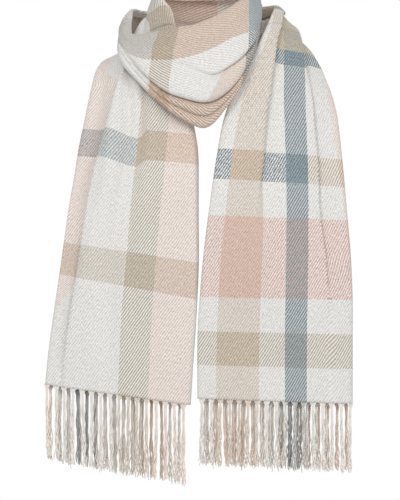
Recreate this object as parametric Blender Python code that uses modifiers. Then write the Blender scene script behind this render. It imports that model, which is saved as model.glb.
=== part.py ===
"""Plaid blanket scarf, wound once round a neck, with both fringed ends hanging in front.

One woven rectangle, modelled as the stretches that show: the cowl across the throat, the two
wraps that cross behind the neck, and the two tails, each folded in three layers. The front
faces -Y, up is +Z, and the origin is the middle of the neck where the cloth rests. Tables and
named sizes are in millimetres.
"""

from collections import namedtuple

import bpy
import numpy as np

MM = 0.001

CLOTH_WALL = 2.0
SEAM_GAP = 0.7  # between the ends' middles: their corners lean towards each other, to about 0.3
STRIP_GAP = 0.4
TURN_BULGE = 1.5  # how far a turned edge swells past the layers that it joins
COWL_TURN = 6.5  # depth of the cowl's turned upper edge, and half that of its lower one
NARROWEST = 45.0  # folds are set out on at least this width, then drawn in
TAIL_ROW_SPACING = 32.0
WRAP_ROW_SPACING = 26.0
COWL_ROW_SPACING = 15.0

TASSEL_PITCH = 12.0
TASSEL_WIDTH = 4.6
TASSEL_PLUMP = 1.15  # a tassel's middle, as a share of its root
TASSEL_TIP = 0.7
TASSEL_SWAY = 1.2
TASSEL_RUNS = 2  # stretches that make up a tassel's length
TASSEL_SEED = 5
STRIP_DEPTH = 2.6
STRIP_HEIGHT = 2.6

# Edge a is a stretch's inner or upper edge and edge b its outer or lower one, on the line
# that its lowest layer keeps. Each lap is a knife fold: where its lip lies (share of the
# width), how far it covers the next panel, and how high it stands over it.
Station = namedtuple(
    "Station",
    "ax ay az bx by bz crown gap at1 over1 lift1 at2 over2 lift2",
)

# The right end, from its hem up over the shoulder, round the nape and to the cowl's left end.
RIGHT_PATH = (
    #      ax   ay    az    bx   by    bz  crown gap  at1 over1 lift1  at2 over2 lift2
    Station(-9, -124, -526, 220, -110, -534, 2, 7.5, 0.39, 0, 1, 0.87, 0, 1),
    Station(-9, -127, -440, 220, -113, -446, 3, 7.5, 0.39, 0, 2, 0.87, 0, 3),
    Station(-6, -129, -376, 220, -115, -381, 4, 7.5, 0.39, 0, 3, 0.86, 2, 6),
    Station(0, -130, -305, 217, -117, -311, 5, 7.5, 0.38, 0, 4, 0.82, 6, 9),
    Station(9, -128, -232, 211, -115, -240, 6, 7.5, 0.36, 2, 6, 0.79, 10, 11),
    Station(18, -121, -168, 206, -107, -180, 7, 7.5, 0.35, 7, 9, 0.79, 14, 12),
    Station(28, -110, -113, 201, -93, -125, 8, 7.5, 0.34, 12, 11, 0.77, 17, 12),
    Station(44, -97, -68, 196, -72, -86, 9, 7, 0.31, 15, 12, 0.74, 18, 12),
    Station(63, -82, -26, 184, -42, -46, 9, 6.5, 0.25, 13, 12, 0.69, 17, 12),
    Station(79, -68, 10, 166, -8, -8, 9, 6, 0.19, 9, 10, 0.67, 14, 11),
    Station(91, -50, 38, 150, 30, 8, 9, 6, 0.20, 4, 8, 0.66, 12, 10),
    Station(98, -18, 54, 134, 72, 6, 9, 6, 0.24, 4, 7, 0.64, 9, 9),
    Station(98, 26, 60, 112, 108, -4, 8, 6, 0.30, 7, 8, 0.64, 7, 8),
    Station(74, 76, 60, 72, 136, -16, 7, 6, 0.32, 6, 8, 0.66, 6, 8),
    Station(24, 106, 58, 20, 148, -24, 7, 6, 0.34, 6, 8, 0.66, 6, 8),
    Station(-34, 104, 54, -38, 142, -24, 7, 6, 0.34, 6, 8, 0.66, 6, 8),
    Station(-84, 76, 50, -96, 106, -14, 7, 6, 0.34, 3, 6, 0.66, 3, 6),
    Station(-109, 34, 48, -127, 44, 8, 6, 5.5, 0.36, 0, 2, 0.64, 0, 3),
    Station(-115, -8, 41, -130, -14, 15, 6, 5.5, 0.36, 0, 1, 0.62, 0, 1),
)
RIGHT_SEAM = 9.6  # the shoulder seam, counted in the table's rows

# The left end, from its hem up over the shoulder and round the nape under the other wrap.
# Edge a is its outer or lower edge here. The first lap's lip points outward, and the second
# fold is a valley: its place, its width and its depth.
LEFT_PATH = (
    Station(-238, -112, -505, -24, -126, -535, 2, 7.5, 0.10, 3, 6, 0.42, 16, 1),
    Station(-233, -114, -455, -20, -129, -470, 3, 7.5, 0.11, 6, 8, 0.41, 16, 2),
    Station(-226, -115, -403, -16, -130, -412, 4, 7.5, 0.12, 9, 9, 0.40, 16, 4),
    Station(-214, -117, -321, -12, -131, -328, 5, 7.5, 0.13, 13, 10, 0.39, 16, 7),
    Station(-203, -116, -243, -12, -130, -250, 6, 7.5, 0.14, 15, 11, 0.39, 16, 9),
    Station(-195, -113, -196, -12, -128, -202, 7, 7.5, 0.15, 16, 12, 0.40, 16, 11),
    Station(-188, -106, -150, -13, -123, -154, 8, 7.5, 0.17, 17, 12, 0.42, 16, 12),
    Station(-180, -94, -110, -20, -112, -110, 8, 7, 0.18, 17, 12, 0.42, 16, 12),
    Station(-171, -73, -64, -30, -98, -62, 8, 6.5, 0.20, 15, 11, 0.42, 15, 10),
    Station(-162, -42, -27, -40, -84, -18, 5, 6, 0.22, 5, 5, 0.44, 13, 4),
    Station(-147, -8, -14, -46, -74, 24, 5, 5.5, 0.26, 0, 3, 0.50, 12, 3),
    Station(-121, 40, -29, -56, -62, 58, 19, 5.5, 0.28, 0, 3, 0.66, 10, 6),
    Station(-94, 75, -30, -70, -34, 78, 16, 5.5, 0.32, 0, 3.5, 0.72, 9, 8),
    Station(-62, 98, -18, -72, 14, 88, 9, 5.5, 0.32, 0, 3, 0.64, 11, 6),
    Station(-14, 108, -14, -38, 62, 90, 5, 5.5, 0.34, 0, 3, 0.60, 12, 5),
    Station(36, 100, -4, 22, 72, 91, 5, 5.5, 0.34, 0, 3, 0.60, 12, 5),
    Station(70, 66, 10, 56, 54, 92, 5, 5.5, 0.33, 0, 3, 0.61, 9, 4),
    Station(84, 24, 24, 73, 22, 94, 4, 5.5, 0.32, 0, 2, 0.62, 7, 2),
    Station(82, -40, 34, 79, -22, 95, 4, 5.5, 0.32, 0, 1, 0.62, 6, 1),
)
LEFT_SEAM = 10.3

# The cowl, from the left side of the neck across the throat to the right. Each crease has its
# place down the cowl (share of its height), its depth and how far the roll above hangs over it.
Swag = namedtuple(
    "Swag",
    "ax ay az bx by bz crown tuck at1 deep1 hang1 at2 deep2 hang2 at3 deep3 hang3",
)
COWL_PATH = (
    #     ax   ay   az   bx   by   bz  crown tuck at1 deep1 hang1 at2 deep2 hang2 at3 deep3 hang3
    Swag(-115, -8, 41, -130, -14, 15, 6, 12, 0.36, 1, 0, 0.62, 1, 0, 0.80, 0, 0),
    Swag(-112, -45, 24, -130, -86, -9, 8, 12, 0.36, 1, 0, 0.66, 3, 1, 0.82, 1, 0),
    Swag(-90, -80, 23, -104, -117, -44, 10, 13, 0.38, 1, 0, 0.74, 7, 3, 0.88, 3, 1),
    Swag(-52, -100, 30, -68, -140, -80, 12, 14, 0.42, 2, 1, 0.79, 11, 5, 0.90, 7, 3),
    Swag(-16, -108, 35, -34, -154, -103, 14, 14, 0.48, 3, 1, 0.77, 14, 6, 0.89, 10, 4),
    Swag(20, -110, 50, 0, -158, -116, 15, 14, 0.55, 6, 3, 0.76, 15, 7, 0.89, 10, 4),
    Swag(47, -102, 67, 30, -152, -90, 14, 14, 0.58, 11, 5, 0.82, 14, 5, 0.92, 6, 2),
    Swag(66, -86, 79, 55, -136, -56, 12, 12, 0.62, 9, 1, 0.84, 5, 1, 0.93, 1, 0),
    Swag(73, -71, 87, 68, -117, -26, 10, 12, 0.61, 5, 0, 0.82, 2, 0, 0.93, 0, 0),
    Swag(76, -56, 91, 77, -94, 8, 8, 12, 0.56, 3, 0, 0.80, 1, 0, 0.92, 0, 0),
    Swag(78, -40, 93, 80, -70, 28, 6, 12, 0.50, 2, 0, 0.76, 1, 0, 0.90, 0, 0),
    Swag(79, -22, 95, 82, -40, 34, 5, 12, 0.44, 1, 0, 0.68, 1, 0, 0.86, 0, 0),
)

# Tassel lengths at a tail's left and right edges.
LEFT_FRINGE_LENGTH = (112.0, 120.0)
RIGHT_FRINGE_LENGTH = (98.0, 102.0)

# One woven wool, each stretch in the colour that covers most of it.
SAND = (0.66, 0.58, 0.50, 1.0)
IVORY = (0.78, 0.74, 0.69, 1.0)
BLUSH = (0.72, 0.62, 0.56, 1.0)


def clear_scene():
    for old in list(bpy.data.objects):
        bpy.data.objects.remove(old, do_unlink=True)


def wool(name, colour):
    material = bpy.data.materials.new(name)
    material.use_nodes = True
    shader = material.node_tree.nodes["Principled BSDF"]
    shader.inputs["Base Color"].default_value = colour
    shader.inputs["Roughness"].default_value = 0.92
    shader.inputs["Metallic"].default_value = 0.0
    return material


def between_rows(table, places):
    """Every column of the table at fractional row places, on a Catmull-Rom curve through its rows."""
    rows = np.array(table, float)
    before = 2 * rows[0] - rows[1]
    after = 2 * rows[-1] - rows[-2]
    padded = np.vstack([before, rows, after])
    start = np.clip(np.floor(places).astype(int), 0, len(rows) - 2)
    t = (places - start)[:, None]
    p0, p1, p2, p3 = (padded[start + k] for k in range(4))
    tangent1, tangent2 = (p2 - p0) / 2, (p3 - p1) / 2
    curve = (
        (2 * t**3 - 3 * t**2 + 1) * p1
        + (t**3 - 2 * t**2 + t) * tangent1
        + (3 * t**2 - 2 * t**3) * p2
        + (t**3 - t**2) * tangent2
    )
    return type(table[0])(*curve.T)


def spline_weights(count):
    """Weights of a clamped cubic B-spline at its knots: one row for each sample, one column for
    each control point. The samples that would crowd its two ends are left out."""
    spans = count + 1
    places = np.concatenate([[0], np.arange(2, spans - 1), [spans]])
    span = np.minimum(places.astype(int), spans - 1)
    t = places - span
    basis = (
        (1 - t) ** 3 / 6,
        (3 * t**3 - 6 * t**2 + 4) / 6,
        (-3 * t**3 + 3 * t**2 + 3 * t + 1) / 6,
        t**3 / 6,
    )
    weights = np.zeros((len(places), count))
    for k, share in enumerate(basis):
        column = np.clip(span + k - 2, 0, count - 1)
        np.add.at(weights, (np.arange(len(places)), column), share)
    return weights


def width_of(row):
    return np.sqrt((row.bx - row.ax) ** 2 + (row.by - row.ay) ** 2 + (row.bz - row.az) ** 2)


def u_turn(edge, high, low, side):
    """Control points of a turned edge, from the high level round to the low one; side is 1 where
    the cloth turns at its far edge and -1 at its near one."""
    drop = high - low
    return [
        (edge - 9 * side, high),
        (edge - 2 * side, high),
        (edge + TURN_BULGE * side, high - 0.25 * drop),
        (edge + TURN_BULGE * side, high - 0.75 * drop),
        (edge - 2 * side, low),
        (edge - 9 * side, low),
    ]


def lap(share, width, over, high, low, side):
    """Control points of a knife fold, from its near side to its far one. The lip points to the far
    edge (side 1) or to the near one (side -1), and the cloth turns back under it by the overlap.
    Where the step between the levels is low, the fold opens into a soft step."""
    lip = share * width
    soft = np.minimum(14, 0.12 * width)
    rise = high - low
    shut = np.clip((rise - 4) / 5, 0, 1)
    back = lip - side * over
    inset = np.minimum(over / 2, 3)
    middle = (high + low) / 2
    folded = (
        (lip - 4 * side, high),
        (lip + TURN_BULGE * side, high - 0.1 * rise),
        (lip + TURN_BULGE * side, middle + 0.1 * rise),
        (lip - inset * side, middle),
        (back + inset * side, middle),
        (back - TURN_BULGE * side, middle - 0.1 * rise),
        (back - TURN_BULGE * side, low + 0.1 * rise),
        (back + 4 * side, low),
        (lip + 7 * side, low),
    )
    opened = (-1, -0.7, -0.45, -0.2, 0, 0.2, 0.45, 0.7, 1)
    points = [
        (shut * u + (1 - shut) * (lip + step * soft * side), v)
        for (u, v), step in zip(folded, opened)
    ]
    return points[::side]


def laid_out(row, width, points):
    """The control points over the row's crown, drawn in across where the stretch is narrower than
    the width that its folds were set out on."""
    squeeze = width_of(row) / width
    return [(u * squeeze, v + row.crown * 4 * (u / width) * (1 - u / width)) for u, v in points]


def right_section(row, layered):
    """The right end's cross-section: a turned inner edge, two laps that step down outward, the
    turn at the outer edge, then the two hidden layers or a short turned edge."""
    width = np.maximum(width_of(row), NARROWEST)
    level1, level2 = row.lift1 + row.lift2, row.lift2
    hidden = -2 * row.gap
    points = u_turn(0, level1, level1 - row.gap, -1)[::-1]
    points += lap(row.at1, width, row.over1, level1, level2, 1)
    points += lap(row.at2, width, row.over2, level2, 0, 1)
    points += u_turn(width, 0, hidden, 1)
    if layered:
        points += [(0.66 * width, hidden), (0.33 * width, hidden)]
        points += u_turn(5, hidden, -row.gap, -1)
        points += [(0.35 * width, -row.gap), (0.62 * width, -row.gap), (0.88 * width, -row.gap)]
    return laid_out(row, width, points)


def left_section(row, layered):
    """The left end's cross-section: the hidden layer and turn at the outer edge, the strip under
    the broad panel's lip, the panel, the valley beside it, and the turn at the inner edge."""
    width = np.maximum(width_of(row), NARROWEST)
    valley = row.at2 * width
    high = row.lift1
    hidden = -2 * row.gap
    points = []
    if layered:
        points += [(0.70 * width, -row.gap), (0.46 * width, -row.gap), (0.22 * width, -row.gap)]
    points += u_turn(0, 0, -row.gap, -1)[::-1]
    points += lap(row.at1, width, row.over1, high, 0, -1)
    points += [
        (valley - 1.0 * row.over2, high + 1),
        (valley - 0.4 * row.over2, high - 0.5 * row.lift2),
        (valley, high - row.lift2),
        (valley + 0.6 * row.over2, high - 0.5 * row.lift2),
        (valley + 1.4 * row.over2, high),
        (0.4 * (valley + 1.4 * row.over2) + 0.6 * (width - 9), high),
    ]
    points += u_turn(width, high, hidden, 1)
    if layered:
        points += [(0.66 * width, hidden), (0.33 * width, hidden), (8, hidden)]
    return laid_out(row, width, points)


def crease(share, width, deep, hang):
    """Control points of a crease: the roll above bulges and hangs over it, the next one starts
    under it. A shallow crease opens into a soft trough."""
    place = share * width
    soft = np.minimum(10, 0.1 * width)
    shut = np.clip(deep / 9, 0, 1)
    folded = (
        (place - 7, 0.10 * deep),
        (place + hang - 1, 0.05 * deep),
        (place + hang + 1, -0.45 * deep),
        (place - 0.2 * hang, -deep),
        (place + 0.4 * hang + 4, -0.80 * deep),
        (place + hang + 8, -0.15 * deep),
    )
    opened = (-1, -0.6, -0.2, 0.2, 0.6, 1)
    return [
        (shut * u + (1 - shut) * (place + step * soft), v)
        for (u, v), step in zip(folded, opened)
    ]


def cowl_section(row, layered):
    """The cowl's cross-section, from its turned upper edge down over its rolls to the turned lower edge."""
    width = np.maximum(width_of(row), NARROWEST)
    points = [(row.tuck, -COWL_TURN)]
    points += u_turn(0, 0, -COWL_TURN, -1)[::-1]
    points += [(9 + 0.4 * (row.at1 * width - 19), 0)]
    upper = crease(row.at1, width, row.deep1, row.hang1)
    lower = crease(row.at2, width, row.deep2, row.hang2)
    points += upper + [((upper[-1][0] + lower[0][0]) / 2, 0)] + lower
    points += [
        (row.at3 * width + row.hang3 - 1, -0.1 * row.deep3),
        (row.at3 * width + row.hang3, -0.6 * row.deep3),
        (row.at3 * width + 2, -row.deep3),
    ]
    points += u_turn(width, 0, -2 * COWL_TURN, 1)[1:]
    points += [(width - row.tuck, -2 * COWL_TURN)]
    return laid_out(row, width, points)


def middle_of(row):
    return np.array([row.ax + row.bx, row.ay + row.by, row.az + row.bz]).T / 2


def heading(table, places, beyond):
    """Unit direction of a stretch's middle line at fractional row places. Beyond is the middle of
    the next stretch's row past the table's last one, and where there is none the line runs straight."""
    middles = np.array([middle_of(row) for row in table])
    before, after = 2 * middles[0] - middles[1], 2 * middles[-1] - middles[-2]
    if beyond[0] is not None:
        before = beyond[0]
    if beyond[1] is not None:
        after = beyond[1]
    padded = np.vstack([before, middles, after])
    slopes = (padded[2:] - padded[:-2]) / 2
    start = np.clip(np.floor(places).astype(int), 0, len(middles) - 2)
    t = (places - start)[:, None]
    direction = (
        6 * (t - t**2) * (middles[start + 1] - middles[start])
        + (3 * t**2 - 4 * t + 1) * slopes[start]
        + (3 * t**2 - 2 * t) * slopes[start + 1]
    )
    return direction / np.linalg.norm(direction, axis=1, keepdims=True)


def stretch(table, span, section, spacing, layered=False, beyond=(None, None)):
    """Grid of points in millimetres, row by row along the cloth, and the cloth's heading at each
    row. A row lays its section between its two edges, out along the cross product of the line
    between them and the heading."""
    fine = np.linspace(span[0], span[1], 400)
    middle = middle_of(between_rows(table, fine))
    run = np.concatenate([[0], np.cumsum(np.linalg.norm(np.diff(middle, axis=0), axis=1))])
    count = int(round(run[-1] / spacing))
    places = np.interp(np.linspace(0, run[-1], count + 1), run, fine)
    row = between_rows(table, places)
    edge_a = np.stack([row.ax, row.ay, row.az], 1)
    edge_b = np.stack([row.bx, row.by, row.bz], 1)
    forward = heading(table, places, beyond)
    across = (edge_b - edge_a) / width_of(row)[:, None]
    out = np.cross(across, forward)
    out /= np.linalg.norm(out, axis=1, keepdims=True)
    control = np.array([[u + 0 * row.ax, v + 0 * row.ax] for u, v in section(row, layered)])
    flat = np.einsum("sc,cdr->rsd", spline_weights(len(control)), control)
    grid = (
        edge_a[:, None, :]
        + across[:, None, :] * flat[:, :, :1]
        + out[:, None, :] * flat[:, :, 1:]
    )
    return grid, forward


def leave_seams(grid, forward, at_first, at_last):
    """Draws a stretch's end rows in by half the seam gap."""
    if at_first:
        grid[0] += forward[0] * SEAM_GAP / 2
    if at_last:
        grid[-1] -= forward[-1] * SEAM_GAP / 2
    return grid


def grid_faces(rows, columns):
    corner = np.arange(rows * columns).reshape(rows, columns)
    quads = np.stack([corner[:-1, :-1], corner[:-1, 1:], corner[1:, 1:], corner[1:, :-1]], -1)
    return quads.reshape(-1, 4)


def new_object(name, points, faces, colour, collection):
    mesh = bpy.data.meshes.new(name)
    mesh.from_pydata((points * MM).tolist(), [], faces.tolist())
    mesh.materials.append(wool(name + "_wool", colour))
    mesh.shade_smooth()
    piece = bpy.data.objects.new(name, mesh)
    collection.objects.link(piece)
    return piece


def cloth(name, grid, colour, collection):
    rows, columns = grid.shape[:2]
    piece = new_object(name, grid.reshape(-1, 3), grid_faces(rows, columns), colour, collection)
    wall = piece.modifiers.new("Wall", "SOLIDIFY")
    wall.thickness = CLOTH_WALL * MM
    wall.offset = 0.0
    return piece


def fringe(name, hem, up, lengths, colour, collection):
    """A narrow backing strip that follows the folded hem just below it, with a tassel drawn down
    from every second piece of its underside. Lengths are the tassels' at low and at high X."""
    reach = np.concatenate([[0], np.cumsum(np.linalg.norm(np.diff(hem, axis=0), axis=1))])
    count = int((reach[-1] - TASSEL_WIDTH) / TASSEL_PITCH) + 1
    spare = reach[-1] - (count - 1) * TASSEL_PITCH - TASSEL_WIDTH
    starts = spare / 2 + TASSEL_PITCH * np.arange(count)
    at = np.stack([starts, starts + TASSEL_WIDTH], 1).ravel()
    line = np.stack([np.interp(at, reach, hem[:, k]) for k in range(3)], 1)
    later = np.stack([np.interp(at + 2, reach, hem[:, k]) for k in range(3)], 1)
    sooner = np.stack([np.interp(at - 2, reach, hem[:, k]) for k in range(3)], 1)
    side = np.cross(later - sooner, up)
    side *= STRIP_DEPTH / 2 / np.linalg.norm(side, axis=1, keepdims=True)
    top = line - up * STRIP_GAP
    bottom = top - up * STRIP_HEIGHT
    rings = np.stack([top + side, top - side, bottom - side, bottom + side], 1)

    share = (line[:, 0] - line[:, 0].min()) / np.ptp(line[:, 0])
    length = (lengths[0] + (lengths[1] - lengths[0]) * share)[::2]
    roots = rings.reshape(count, 2, 4, 3)[:, :, 2:].reshape(count, 4, 3)[:, (0, 1, 3, 2)]
    centres = roots.mean(1, keepdims=True)
    loose = np.random.default_rng(TASSEL_SEED).normal(0, 1, (count, 2, 3))
    levels = []
    for run in range(1, TASSEL_RUNS + 1):
        drop = run / TASSEL_RUNS
        lean = loose[:, :1] * TASSEL_SWAY * drop + loose[:, 1:] * TASSEL_SWAY * np.sin(np.pi * drop)
        lean[:, :, 2] = -drop * length[:, None]
        plump = TASSEL_PLUMP if run < TASSEL_RUNS else TASSEL_TIP
        levels.append(centres + lean + (roots - centres) * plump)

    points = np.concatenate([rings.reshape(-1, 3)] + [level.reshape(-1, 3) for level in levels])
    faces = []
    for k in range(2 * count - 1):
        near, far = 4 * k, 4 * k + 4
        for corner in (0, 1, 3) if k % 2 == 0 else (0, 1, 2, 3):
            other = (corner + 1) % 4
            faces.append((near + other, near + corner, far + corner, far + other))
    faces.append((0, 1, 2, 3))
    last = 8 * count - 4
    faces.append((last + 3, last + 2, last + 1, last))
    for k in range(count):
        above = (8 * k + 2, 8 * k + 3, 8 * k + 7, 8 * k + 6)
        for run in range(TASSEL_RUNS):
            first = 8 * count + 4 * (run * count + k)
            below = (first, first + 1, first + 2, first + 3)
            for corner in range(4):
                other = (corner + 1) % 4
                faces.append((above[other], above[corner], below[corner], below[other]))
            above = below
        faces.append(above[::-1])
    return new_object(name, points, np.array(faces), colour, collection)


def main():
    clear_scene()
    scarf = bpy.data.collections.new("plaid_blanket_scarf")
    bpy.context.scene.collection.children.link(scarf)
    past_right = (None, middle_of(COWL_PATH[1]))
    past_left = (None, middle_of(COWL_PATH[-2]))
    past_cowl = (middle_of(RIGHT_PATH[-2]), middle_of(LEFT_PATH[-2]))

    span = (0, RIGHT_SEAM)
    grid, run = stretch(RIGHT_PATH, span, right_section, TAIL_ROW_SPACING, layered=True)
    cloth("right_tail", leave_seams(grid, run, False, True), IVORY, scarf)
    fringe("right_fringe", grid[0], run[0], RIGHT_FRINGE_LENGTH, IVORY, scarf)
    span = (RIGHT_SEAM, len(RIGHT_PATH) - 1)
    grid, run = stretch(RIGHT_PATH, span, right_section, WRAP_ROW_SPACING, beyond=past_right)
    cloth("outer_neck_wrap", leave_seams(grid, run, True, True), SAND, scarf)

    span = (0, LEFT_SEAM)
    grid, run = stretch(LEFT_PATH, span, left_section, TAIL_ROW_SPACING, layered=True)
    cloth("left_tail", leave_seams(grid, run, False, True), IVORY, scarf)
    fringe("left_fringe", grid[0], run[0], LEFT_FRINGE_LENGTH, IVORY, scarf)
    span = (LEFT_SEAM, len(LEFT_PATH) - 1)
    grid, run = stretch(LEFT_PATH, span, left_section, WRAP_ROW_SPACING, beyond=past_left)
    cloth("inner_neck_wrap", leave_seams(grid, run, True, True), SAND, scarf)

    span = (0, len(COWL_PATH) - 1)
    grid, run = stretch(COWL_PATH, span, cowl_section, COWL_ROW_SPACING, beyond=past_cowl)
    cloth("cowl", leave_seams(grid, run, True, True), BLUSH, scarf)


main()
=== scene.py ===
"""Plaid blanket scarf, wound once into a loop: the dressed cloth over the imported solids."""
from collections import namedtuple

import bpy
import numpy as np
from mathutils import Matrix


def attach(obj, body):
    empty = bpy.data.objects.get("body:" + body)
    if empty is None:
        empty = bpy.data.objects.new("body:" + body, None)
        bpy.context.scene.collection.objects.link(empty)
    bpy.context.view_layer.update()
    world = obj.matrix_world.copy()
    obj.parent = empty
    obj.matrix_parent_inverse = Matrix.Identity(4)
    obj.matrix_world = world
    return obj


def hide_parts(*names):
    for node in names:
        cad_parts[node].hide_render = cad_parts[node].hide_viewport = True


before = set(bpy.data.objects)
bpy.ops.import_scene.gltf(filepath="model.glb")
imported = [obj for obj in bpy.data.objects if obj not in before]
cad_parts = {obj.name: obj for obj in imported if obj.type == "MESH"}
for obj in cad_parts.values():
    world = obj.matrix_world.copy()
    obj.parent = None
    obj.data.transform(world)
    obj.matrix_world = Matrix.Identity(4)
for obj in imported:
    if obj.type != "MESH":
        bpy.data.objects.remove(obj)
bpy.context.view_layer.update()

# -------------------- the right end
# One end of the scarf, hanging in front: the full width of the cloth folded in three layers,
# its front laid in two knife folds that open towards the hem. Soft wool, woven as a coarse
# 2/2 twill in a large plaid and brushed; the hem is cut square above its fringe.
MM = 0.001
CLOTH_WALL = 2.2
TURN_BULGE = 1.5  # how far a turned edge swells past the layers that it joins
TURN_RUN = 9  # how far from a turned edge its layers lie flat
STEP_OPENS, STEP_SHUTS = 4, 9  # the step's height where a knife fold lies open, and where shut
NARROWEST = 45.0  # folds are set out on at least this width, then drawn in
PER_SPAN = 4  # samples between two control points of a section
ROW_STEP = 4.5  # distance between rows along the cloth
MEASURED_AT = 600  # places at which a stretch's length is measured

# Edge a is a stretch's inner or upper edge and edge b its outer or lower one, in millimetres,
# with the width's crown and the gap between layers. Each knife fold has its lip's place (share
# of the width), how far it covers the next panel, and how high it stands over it.
Station = namedtuple("Station", "ax ay az bx by bz crown gap at1 over1 lift1 at2 over2 lift2")

RIGHT_PATH = [Station(*row) for row in (
    (-9, -124, -526, 220, -110, -534, 2, 7.5, 0.39, 0, 1, 0.87, 0, 1),
    (-9, -127, -440, 220, -113, -446, 3, 7.5, 0.39, 0, 2, 0.87, 0, 3),
    (-6, -129, -376, 220, -115, -381, 4, 7.5, 0.39, 0, 3, 0.86, 2, 6),
    (0, -130, -305, 217, -117, -311, 5, 7.5, 0.38, 0, 4, 0.82, 6, 9),
    (9, -128, -232, 211, -115, -240, 6, 7.5, 0.36, 2, 6, 0.79, 10, 11),
    (18, -121, -168, 206, -107, -180, 7, 7.5, 0.35, 7, 9, 0.79, 14, 12),
    (28, -110, -113, 201, -93, -125, 8, 7.5, 0.34, 12, 11, 0.77, 17, 12),
    (44, -97, -68, 196, -72, -86, 9, 7, 0.31, 15, 12, 0.74, 18, 12),
    (63, -82, -26, 184, -42, -46, 9, 6.5, 0.25, 13, 12, 0.69, 17, 12),
    (79, -68, 10, 166, -8, -8, 9, 6, 0.19, 9, 10, 0.67, 14, 11),
    (91, -50, 38, 150, 30, 8, 9, 6, 0.20, 4, 8, 0.66, 12, 10),
    (98, -18, 54, 134, 72, 6, 9, 6, 0.24, 4, 7, 0.64, 9, 9),
    (98, 26, 60, 112, 108, -4, 8, 6, 0.30, 7, 8, 0.64, 7, 8),
    (74, 76, 60, 72, 136, -16, 7, 6, 0.32, 6, 8, 0.66, 6, 8),
    (24, 106, 58, 20, 148, -24, 7, 6, 0.34, 6, 8, 0.66, 6, 8),
    (-34, 104, 54, -38, 142, -24, 7, 6, 0.34, 6, 8, 0.66, 6, 8),
    (-84, 76, 50, -96, 106, -14, 7, 6, 0.34, 3, 6, 0.66, 3, 6),
    (-109, 34, 48, -127, 44, 8, 6, 5.5, 0.36, 0, 2, 0.64, 0, 3),
    (-115, -8, 41, -130, -14, 15, 6, 5.5, 0.36, 0, 1, 0.62, 0, 1),
)]
RIGHT_SEAM = 9.6  # the crest where the cloth turns to the back, counted in the table's rows

# Where the taupe and the blue stripe start across the tail, row by row.
RIGHT_TAUPE_EDGE = (24, 25, 24, 22.5, 20.5, 19, 17.5, 11, 6, 3, 0)
RIGHT_BLUE_EDGE = (127.5, 127.5, 125, 120, 111, 101, 89, 71, 51, 36, 24)
TAUPE_STARTS, BLUE_STARTS = 24.0, 125.5

# Soft hollows, and ridges with a minus sign, laid over the folds: place across, as a share of
# the width, at the lower and the upper end, start and end of the run, half-width and depth.
RIGHT_TROUGHS = (
    (0.27, 0.22, 60, 400, 7, -2.2),
    (0.33, 0.28, 40, 380, 9, 2.0),
    (0.55, 0.50, 0, 300, 16, 1.8),
    (0.66, 0.62, 20, 260, 12, -1.4),
    (0.12, 0.16, 0, 210, 12, 1.2),
    (0.93, 0.92, 60, 420, 9, -1.6),
    (0.47, 0.45, 260, 520, 8, 1.4),
    (0.41, 0.36, 290, 500, 7, 3.5),
)


def through_rows(rows, places, ends=(None, None)):
    """A Catmull-Rom curve through the rows, and its slope, at fractional row places. The ends
    are rows before the first and after the last; where there is none it runs on straight."""
    straight = 2 * rows[0] - rows[1], 2 * rows[-1] - rows[-2]
    before, after = (s if end is None else end for s, end in zip(straight, ends))
    padded = np.vstack([before, rows, after])
    start = np.clip(np.floor(places).astype(int), 0, len(rows) - 2)
    t = (places - start)[:, None]
    p0, p1, p2, p3 = (padded[start + k] for k in range(4))
    tangent1, tangent2 = (p2 - p0) / 2, (p3 - p1) / 2
    curve = (
        (2 * t**3 - 3 * t**2 + 1) * p1
        + (t**3 - 2 * t**2 + t) * tangent1
        + (3 * t**2 - 2 * t**3) * p2
        + (t**3 - t**2) * tangent2
    )
    slope = (
        6 * (t - t**2) * (p2 - p1)
        + (3 * t**2 - 4 * t + 1) * tangent1
        + (3 * t**2 - 2 * t) * tangent2
    )
    return curve, slope


def spline_weights(count, per_span):
    """Weights of a clamped cubic B-spline: one row for each sample, one column for each control
    point. Sample k lies nearest to control point k / per_span - 1."""
    spans = count + 1
    places = np.arange(spans * per_span + 1) / per_span
    span = np.minimum(places.astype(int), spans - 1)
    t = places - span
    basis = (
        (1 - t) ** 3 / 6,
        (3 * t**3 - 6 * t**2 + 4) / 6,
        (-3 * t**3 + 3 * t**2 + 3 * t + 1) / 6,
        t**3 / 6,
    )
    weights = np.zeros((len(places), count))
    for k, share in enumerate(basis):
        column = np.clip(span + k - 2, 0, count - 1)
        np.add.at(weights, (np.arange(len(places)), column), share)
    return weights


def width_of(row):
    return np.sqrt((row.bx - row.ax) ** 2 + (row.by - row.ay) ** 2 + (row.bz - row.az) ** 2)


def u_turn(edge, high, low, side):
    """Control points of a turned edge, from the high level round to the low one; side is 1 where
    the cloth turns at its far edge and -1 at its near one."""
    drop = high - low
    return [
        (edge - TURN_RUN * side, high),
        (edge - 2 * side, high),
        (edge + TURN_BULGE * side, high - 0.25 * drop),
        (edge + TURN_BULGE * side, high - 0.75 * drop),
        (edge - 2 * side, low),
        (edge - TURN_RUN * side, low),
    ]


def part_open(folded, opened, shut, place, soft):
    """Control points of a fold between its two forms: folded where it is shut, and evenly
    spread out about its place where it is open, at the same heights."""
    return [
        (shut * u + (1 - shut) * (place + step * soft), v)
        for (u, v), step in zip(folded, opened)
    ]


def unit(vectors):
    return vectors / np.linalg.norm(vectors, axis=1, keepdims=True)


def distance_along(points):
    return np.r_[0, np.cumsum(np.linalg.norm(np.diff(points, axis=0), axis=1))]


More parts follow.
